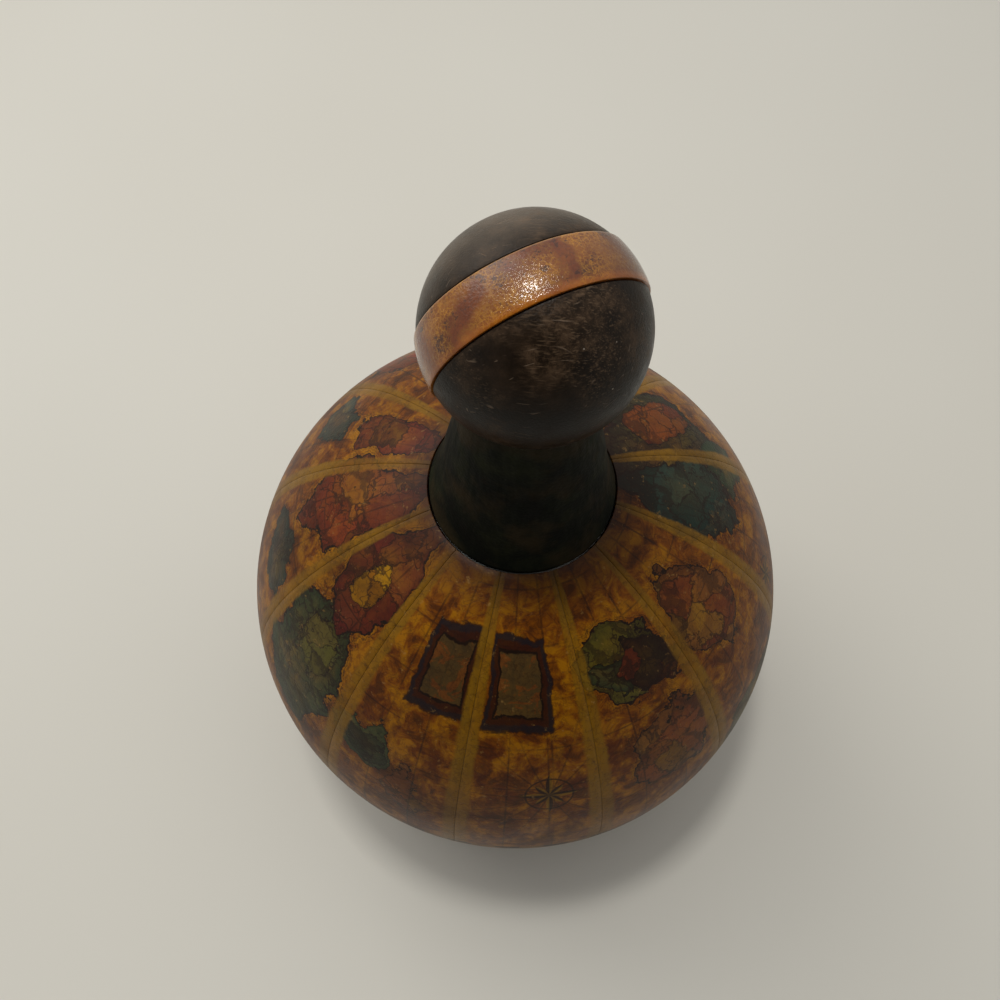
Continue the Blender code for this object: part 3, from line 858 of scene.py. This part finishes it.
# Stained wood: dark brown with rings 1.5 mm apart and a little wax. At a scale of 1 the bands of a
# wave texture stand tau / 20 metres apart
RING_SCALE = math.tau / 20 / 0.0015
stained, add, place = blank_material("stained_turned_wood")
rings = add(
    "TexWave",
    {"Vector": place, "Scale": RING_SCALE, "Distortion": 1.5, "Detail": 2.0, "Detail Scale": 2.0},
    bands_direction="X",
)
wood_tone = add(
    "ValToRGB", {"Fac": rings.outputs["Fac"]}, stops=[(0.2, "#2c1a10"), (0.8, "#4a2f1e")]
)
relief = add("Bump", {"Height": rings.outputs["Fac"], "Strength": 0.3, "Distance": 0.0001})
surface = add(
    "BsdfPrincipled", {"Base Color": wood_tone, "Roughness": 0.5, "Normal": relief, "IOR": 1.5}
)
add("OutputMaterial", {"Surface": surface})

core = made("turned_ball", bm, stained)
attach(core, "ball")
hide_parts("ball_core")

# Ball caps: two bowls of dark brown leather, wetted and drawn over the wooden ball, then
# trimmed where the band goes and level with the flat underneath.
BALL_RADIUS = 0.0208
CAP_THICKNESS = 0.0011
CAP_ROUNDING = 0.00022
CAP_WAVE = 0.00010
CAP_WAVE_LENGTH = 0.009
CAP_CORNER_DEG = 50
BAND_SEAM = 0.0003
BAND_FRONT = 0.0029
BAND_BACK = 0.0069
FACING_AZIMUTH_DEG = -63.5
FACING_TILT_DEG = -11.7


def ball_skin(radius, thickness, near, far, rounding):
    """A leather skin on the ball between two planes across the way that the front cap faces."""
    bm = bmesh.new()
    bmesh.ops.create_uvsphere(bm, u_segments=BALL_STEPS, v_segments=BALL_RINGS, radius=radius)
    bmesh.ops.rotate(bm, verts=bm.verts, matrix=facing)
    way = facing @ Vector((0, 0, 1))
    if near is not None:
        cut_back(bm, way * near, way)
    if far is not None:
        cut_back(bm, way * far, -way)
    cut_back(bm, (0, 0, -BALL_FLAT_DROP), (0, 0, -1))
    hand_laid(bm, CAP_WAVE, CAP_WAVE_LENGTH)
    bmesh.ops.solidify(bm, geom=bm.faces[:], thickness=thickness)
    rounded(bm, sharp_edges(bm, CAP_CORNER_DEG), rounding, segments=2)
    bmesh.ops.translate(bm, verts=bm.verts, vec=(0, 0, BALL_Z))
    return bm


azimuth = math.radians(FACING_AZIMUTH_DEG)
tilt = math.radians(FACING_TILT_DEG)
level = math.cos(tilt)
front_way = Vector((level * math.cos(azimuth), level * math.sin(azimuth), math.sin(tilt)))
facing = front_way.to_track_quat("Z", "Y").to_matrix()

# Waxed brown leather, nearly black: mottled dye, dry brown scuffs where hands rub it, pale
# hairline scratches and a few chipped specks; the wax gives a grey sheen at the rims. Painted
# shade darkens the lower part, and a painted sheen greys the back cap high up
cap_leather, add, place = blank_material("waxed_scuffed_brown_leather")
patches = add("TexNoise", {"Vector": place, "Scale": 1 / 0.007, "Detail": 7.0, "Roughness": 0.68})
cap_tone = add(
    "ValToRGB", {"Fac": patches}, stops=[(0.34, "#150f0a"), (0.50, "#231910"), (0.68, "#34261a")]
)
handled = add("TexNoise", {"Vector": place, "Scale": 1 / 0.013, "Detail": 2.0})
# What lies over the dye: a share and a tint each, the later over the earlier
layers = []
# A palm presses most on the top and the front. Lower down the colour is painted nearly black:
# painted shade, where the underside faces away from the light
PALM_WAY = (0.04, -0.58, 0.81)
outwards = add("VectorMath", (place, (0, 0, BALL_Z)), operation="SUBTRACT")
outwards = add("VectorMath", (outwards,), operation="NORMALIZE")
upwards = add("SeparateXYZ", {"Vector": outwards}).outputs["Z"]
painted_low_shade = add("MapRange", {"Value": upwards, "From Min": 0.74, "From Max": 0.20, "To Max": 0.7})
layers.append((painted_low_shade, "#0c0906"))
palm = add("VectorMath", (outwards, PALM_WAY), operation="DOT_PRODUCT")
palm = add("MapRange", {"Value": palm, "From Min": 0.72, "From Max": 0.98, "To Max": 0.16})
handled = add("Math", (handled, palm), operation="ADD")
handled = add("MapRange", {"Value": handled, "From Min": 0.46, "From Max": 0.68})
# Painted sheen: pale grey high on the back cap, for the reflection of the bright surround behind
painted_back_sheen = add("VectorMath", (outwards, front_way), operation="DOT_PRODUCT")
painted_back_sheen = add("MapRange", {"Value": painted_back_sheen, "From Min": -0.30, "From Max": -0.65, "To Max": 1.1})
painted_back_sheen = add("Math", (painted_back_sheen, patches), operation="MULTIPLY")
high_up = add("MapRange", {"Value": upwards, "From Min": -0.10, "From Max": 0.40, "To Min": 0.25})
painted_back_sheen = add("Math", (painted_back_sheen, high_up), operation="MULTIPLY")
layers.append((painted_back_sheen, "#655b50"))
scuff = add(
    "TexNoise",
    {"Vector": place, "Scale": 1 / 0.0035, "Detail": 8.0, "Roughness": 0.82, "Distortion": 0.2},
)
scuff_share = add("MapRange", {"Value": scuff, "From Min": 0.48, "From Max": 0.66, "To Max": 0.5})
scuff_share = add("Math", (scuff_share, handled), operation="MULTIPLY")
layers.append((scuff_share, "#66503c"))
# Rubbing has left fine marks that cross: each is 2.5 mm long and 0.3 mm wide
for turn in ((0.5, 0.3, 0.9), (0.2, 0.6, 2.6)):
    marks = add(
        "Mapping",
        {"Vector": place, "Rotation": turn, "Scale": (1 / 0.0025, 1 / 0.0003, 1 / 0.0003)},
    )
    marks = add("TexNoise", {"Vector": marks, "Scale": 1.0, "Detail": 2.0})
    marks = add("MapRange", {"Value": marks, "From Min": 0.58, "From Max": 0.72, "To Max": 0.45})
    marks = add("Math", (marks, handled), operation="MULTIPLY")
    layers.append((marks, "#6a5643"))
# Scratches: turn, and wander in millimetres, of each set. A scratch is the thin line where a
# stretched noise passes its middle, and it shows only where a second noise lets it
scratches = None
for turn, wander_mm in (((0.4, 0.2, 0.5), 6.0), ((1.3, 0.9, 2.1), 5.0), ((2.2, 0.3, 1.2), 7.0)):
    lines = add(
        "Mapping",
        {
            "Vector": place,
            "Rotation": turn,
            "Scale": (1 / 0.025, 1000 / wander_mm, 1000 / wander_mm),
        },
    )
    broken = add("TexNoise", {"Vector": lines, "Scale": 5.0, "Detail": 1.0})
    broken = add("MapRange", {"Value": broken, "From Min": 0.60, "From Max": 0.68})
    lines = add("TexNoise", {"Vector": lines, "Scale": 1.0, "Detail": 1.0})
    lines = add("Math", (lines, 0.5), operation="SUBTRACT")
    lines = add("Math", (lines,), operation="ABSOLUTE")
    lines = add("MapRange", {"Value": lines, "From Min": 0.007, "From Max": 0.002})
    lines = add("Math", (lines, broken), operation="MULTIPLY")
    scratches = (
        lines
        if scratches is None
        else add("Math", (scratches, lines), operation="MAXIMUM")
    )
scratch_share = add("Math", (scratches, 0.4), operation="MULTIPLY")
layers.append((scratch_share, "#7d6a58"))
# Chips: pale specks of 0.2 mm, one in four of the cells of 2.6 mm
chips = add("TexVoronoi", {"Vector": place, "Scale": 1 / 0.0026})
chip_pick = add("SeparateXYZ", {"Vector": chips.outputs["Color"]})
chip_pick = add("Math", (chip_pick, 0.75), operation="GREATER_THAN")
chip_share = add("MapRange", {"Value": chips, "From Min": 0.07, "From Max": 0.03, "To Max": 0.8})
chip_share = add("Math", (chip_share, chip_pick), operation="MULTIPLY")
layers.append((chip_share, "#a2978a"))
for share, tint in layers:
    cap_tone = add("Mix", {"Factor": share, "A": cap_tone, "B": tint}, data_type="RGBA")
# Relief: grain of 0.45 mm, raised scuffs and sunk scratches
grain = add("TexVoronoi", {"Vector": place, "Scale": 1 / 0.00045})
height = add("Math", (scratches, -1.2, grain), operation="MULTIPLY_ADD")
height = add("Math", (scuff, 2.0, height), operation="MULTIPLY_ADD")
relief = add("Bump", {"Height": height, "Strength": 0.5, "Distance": 0.00006})
gloss = add(
    "MapRange", {"Value": scuff, "From Min": 0.35, "From Max": 0.70, "To Min": 0.28, "To Max": 0.52}
)
surface = add(
    "BsdfPrincipled",
    {
        "Base Color": cap_tone,
        "Roughness": gloss,
        "Normal": relief,
        "IOR": 1.45,
        "Specular IOR Level": 0.16,
    },
)
add("OutputMaterial", {"Surface": surface})

half_seam = BAND_SEAM / 2
bm = ball_skin(BALL_RADIUS, CAP_THICKNESS, None, BAND_FRONT + half_seam, CAP_ROUNDING)
front_cap = made("front_cap", bm, cap_leather)
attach(front_cap, "ball")
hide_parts("ball_cap_front")

bm = ball_skin(BALL_RADIUS, CAP_THICKNESS, -BAND_BACK - half_seam, None, CAP_ROUNDING)
back_cap = made("back_cap", bm, cap_leather)
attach(back_cap, "ball")
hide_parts("ball_cap_back")

# Ball band: one strip of thicker tan leather round the ball between the caps, skived at its
# ends and glued on last, so it stands a little proud of them.
BAND_RADIUS = 0.02118
BAND_THICKNESS = 0.0014
BAND_ROUNDING = 0.00025

# Tan leather under old varnish: orange brown with redder patches, a fine gold net where the
# varnish has wrinkled, dark pits; the wrinkles break a highlight into sparks
band_leather, add, place = blank_material("tan_leather_crackled_varnish")
blotches = add("TexNoise", {"Vector": place, "Scale": 1 / 0.006, "Detail": 6.0, "Roughness": 0.62})
tan_tone = add(
    "ValToRGB",
    {"Fac": blotches},
    stops=[(0.34, "#4f240c"), (0.45, "#6c370d"), (0.56, "#7e470f"), (0.68, "#8e5815")],
)
flushes = add("TexNoise", {"Vector": place, "Scale": 1 / 0.009, "Detail": 3.0, "Distortion": 0.5})
flush_share = add(
    "MapRange", {"Value": flushes, "From Min": 0.50, "From Max": 0.60, "To Max": 0.65}
)
layers = [(flush_share, "#6b3010")]
# Crackle: the varnish has broken into bent cells of 0.9 mm and then of 0.4 mm, whose edges look
# gold where it is thick and dark where it is thin
wrinkles = add("TexNoise", {"Vector": place, "Scale": 1 / 0.0022, "Detail": 5.0, "Roughness": 0.7})
bend = add(
    "VectorMath",
    (wrinkles.outputs["Color"], (0.0024, 0.0024, 0.0024), place),
    operation="MULTIPLY_ADD",
)
thick_varnish = add("MapRange", {"Value": flushes, "From Min": 0.60, "From Max": 0.44})
crackle = None
for cell_mm, line_share in ((0.9, 0.11), (0.4, 0.13)):
    edges = add("TexVoronoi", {"Vector": bend, "Scale": 1000 / cell_mm}, feature="DISTANCE_TO_EDGE")
    edges = add("MapRange", {"Value": edges, "From Min": line_share, "From Max": 0.02})
    crackle = (
        edges
        if crackle is None
        else add("Math", (edges, 0.6, crackle), operation="MULTIPLY_ADD")
    )
edge_tint = add("Mix", {"Factor": thick_varnish, "A": "#4a240c", "B": "#b98220"}, data_type="RGBA")
# The strip's right-hand end is darker and redder, with hardly any crackle
darker_right_end = add("SeparateXYZ", {"Vector": place})
darker_right_end = add(
    "MapRange", {"Value": darker_right_end, "From Min": 0.006, "From Max": 0.016, "To Max": 0.85}
)
layers.append((darker_right_end, "#4e2a14"))
crack_share = add("MapRange", {"Value": darker_right_end, "To Min": 0.45, "To Max": 0.08})
crack_share = add("Math", (crackle, crack_share), operation="MULTIPLY")
layers.append((crack_share, edge_tint))
# Pits: dark specks of 0.5 mm that gather in places
pits = add("TexNoise", {"Vector": place, "Scale": 1 / 0.0015, "Detail": 3.0, "Roughness": 0.75})
gather = add(
    "MapRange",
    {"Value": blotches, "From Min": 0.60, "From Max": 0.40, "To Min": 0.12, "To Max": 0.0},
)
pits = add("Math", (pits, gather), operation="SUBTRACT")
pit_share = add("MapRange", {"Value": pits, "From Min": 0.52, "From Max": 0.58, "To Max": 0.85})
layers.append((pit_share, "#3a1c10"))
# Across the band: the front edge is bright orange for 1.8 mm, where the dye is thin, and the
# back edge is rubbed pale for 0.6 mm
across = add(
    "Mapping",
    {"Vector": place, "Location": (0, 0, BALL_Z), "Rotation": facing.to_euler()},
    vector_type="TEXTURE",
)
across = add("SeparateXYZ", {"Vector": across}).outputs["Z"]
thin_dye = add(
    "MapRange", {"Value": across, "From Min": BAND_FRONT - 0.0018, "From Max": BAND_FRONT - 0.0004}
)
thin_dye = add("Math", (thin_dye, blotches), operation="MULTIPLY")
layers.append((thin_dye, "#ad6119"))
rubbed = add(
    "MapRange", {"Value": across, "From Min": -BAND_BACK + 0.0006, "From Max": -BAND_BACK + 0.0001}
)
rubbed = add("Math", (rubbed, wrinkles), operation="MULTIPLY")
layers.append((rubbed, "#c99a5c"))
for share, tint in layers:
    tan_tone = add("Mix", {"Factor": share, "A": tan_tone, "B": tint}, data_type="RGBA")
# Relief: the varnish lies in beads of 0.6 mm, each of which throws its own spark
beads = add("TexNoise", {"Vector": place, "Scale": 1 / 0.0006, "Detail": 1.0, "Roughness": 0.5})
height = add("Math", (crackle, -0.12, beads), operation="MULTIPLY_ADD")
relief = add("Bump", {"Height": height, "Strength": 1.0, "Distance": 0.00006})
gloss = add(
    "MapRange",
    {"Value": blotches, "From Min": 0.35, "From Max": 0.65, "To Min": 0.50, "To Max": 0.36},
)
surface = add(
    "BsdfPrincipled",
    {
        "Base Color": tan_tone,
        "Roughness": gloss,
        "Normal": relief,
        "IOR": 1.45,
        "Specular IOR Level": 0.15,
        "Coat Weight": 0.8,
        "Coat Roughness": 0.07,
        "Coat IOR": 1.5,
        "Coat Normal": relief,
    },
)
add("OutputMaterial", {"Surface": surface})

front_edge = BAND_FRONT - half_seam
back_edge = -BAND_BACK + half_seam
bm = ball_skin(BAND_RADIUS, BAND_THICKNESS, front_edge, back_edge, BAND_ROUNDING)
band = made("tan_band", bm, band_leather)
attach(band, "ball")
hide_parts("ball_band")

# Studio: a plain pale floor, a soft lamp straight overhead, a wide one high on the left behind,
# and a pale surround, brighter high at the back and dim in front.
FLOOR_SIZE = 16.0
LAMP_AIM = (0.0, 0.0, 0.12)
# Way from the decanter, distance, width, depth and power of each lamp
LAMPS = (
    ("overhead_lamp", (-0.10, 0.09, 1.0), 0.85, 0.12, 0.09, 2.4),
    ("side_lamp", (-0.62, 0.52, 0.75), 1.10, 0.70, 0.70, 3.6),
)
SURROUND = 0.52
WINDOW_WAY = (-0.20, 0.75, 0.63)
WINDOW_SURROUND = 0.90
DIM_WAY = (0.0, -0.80, 0.60)
DIM_SHARE = 0.05

bm = bmesh.new()
bmesh.ops.create_grid(bm, x_segments=1, y_segments=1, size=FLOOR_SIZE / 2)
# Painted board: pale warm grey with a barely seen mottle
floor_paint, add, place = blank_material("pale_painted_board")
mottle = add("TexNoise", {"Vector": place, "Scale": 1 / 0.3, "Detail": 2.0})
paint = add("ValToRGB", {"Fac": mottle}, stops=[(0.3, "#cfccc3"), (0.7, "#d4d2ca")])
surface = add("BsdfPrincipled", {"Base Color": paint, "Roughness": 0.7})
add("OutputMaterial", {"Surface": surface})
floor = made("studio_floor", bm, floor_paint)

for name, way, distance, width, depth, watts in LAMPS:
    lamp_data = bpy.data.lights.new(name, "AREA")
    lamp_data.shape = "RECTANGLE"
    lamp_data.size = width
    lamp_data.size_y = depth
    lamp_data.energy = watts
    lamp_data.color = linear("#fffcf6")[:3]
    lamp = bpy.data.objects.new(name, lamp_data)
    way = Vector(way).normalized()
    lamp.location = Vector(LAMP_AIM) + way * distance
    lamp.rotation_euler = way.to_track_quat("Z", "Y").to_euler()
    bpy.context.scene.collection.objects.link(lamp)

world = bpy.data.worlds.new("pale_surround")
world.use_nodes = True
world.node_tree.nodes.clear()
add = functools.partial(node, world)
sky_way = add("TexCoord").outputs["Generated"]
to_window = add("VectorMath", (sky_way, WINDOW_WAY), operation="DOT_PRODUCT")
glow = add(
    "MapRange",
    {
        "Value": to_window,
        "From Min": 0.30,
        "From Max": 0.98,
        "To Min": SURROUND,
        "To Max": WINDOW_SURROUND,
    },
    interpolation_type="SMOOTHSTEP",
)
to_front = add("VectorMath", (sky_way, DIM_WAY), operation="DOT_PRODUCT")
shade = add(
    "MapRange",
    {"Value": to_front, "From Min": 0.62, "From Max": 0.88, "To Min": 1.0, "To Max": DIM_SHARE},
    interpolation_type="SMOOTHSTEP",
)
glow = add("Math", (glow, shade), operation="MULTIPLY")
surround = add("Background", {"Color": "#f8f7f4", "Strength": glow})
add("OutputWorld", {"Surface": surround})
bpy.context.scene.world = world
bpy.context.scene.view_settings.view_transform = "Standard"

# Camera: a close picture from above, looking down past the stopper. Its place was fitted to the
# outlines of globe, neck and ball.
CAMERA_ELEVATION_DEG = 66.26
CAMERA_ROLL_DEG = 1.93
GLOBE_FROM_CAMERA = (0.00424, -0.02495, -0.29835)
SENSOR = 36.0
LENS = 36.0

look_down = Matrix.Rotation(math.radians(90 - CAMERA_ELEVATION_DEG), 3, "X")
roll = Matrix.Rotation(math.radians(CAMERA_ROLL_DEG), 3, "Z")
aim = look_down @ roll
camera_data = bpy.data.cameras.new("photo_camera")
camera_data.sensor_width = SENSOR
camera_data.lens = LENS
camera_data.clip_start = 0.01
camera = bpy.data.objects.new("photo_camera", camera_data)
camera.location = Vector((0, 0, GLOBE_Z)) - aim @ Vector(GLOBE_FROM_CAMERA)
camera.rotation_euler = aim.to_euler()
bpy.context.scene.collection.objects.link(camera)
bpy.context.scene.camera = camera

bpy.context.view_layer.update()
